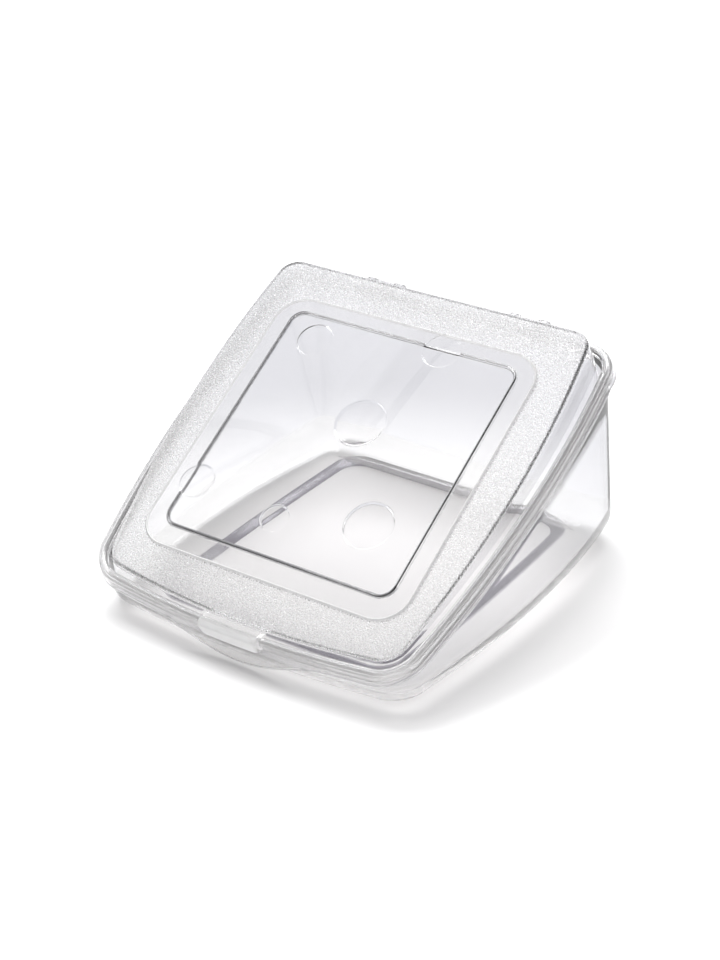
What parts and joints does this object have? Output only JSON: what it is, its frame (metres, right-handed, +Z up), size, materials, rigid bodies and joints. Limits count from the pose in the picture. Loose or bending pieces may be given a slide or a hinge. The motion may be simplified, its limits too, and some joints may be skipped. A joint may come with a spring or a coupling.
{
  "type": "wedge-shaped food keeper box",
  "caption": "Clear plastic wedge-shaped deli keeper box: a deep tub whose sloping rim carries a snap-down hinged lid with a thumb tab and a raised window.",
  "frame": {"origin": "on the surface the box stands on, under the middle of the whole box", "axes": "+X to the right as seen from the low front, +Y towards the high hinged back, +Z up"},
  "size_m": [0.2026, 0.2028, 0.1206],
  "materials": {
    "tub": "clear moulded plastic, glossy",
    "lid": "clear moulded plastic, frosted round a glossy clear window",
    "hinge_pin": "translucent moulded plastic, satin"
  },
  "bodies": {
    "box": {"tub": "tub", "hinge_pin_left": "hinge_pin", "hinge_pin_right": "hinge_pin"},
    "cover": {"lid": "lid"}
  },
  "joints": [
    {"name": "lid_hinge", "type": "hinge", "parent": "box", "child": "cover", "pos_m": [0, 0.09193, 0.10771], "axis": [-1, 0, 0], "range_deg": [0, 130]}
  ]
}
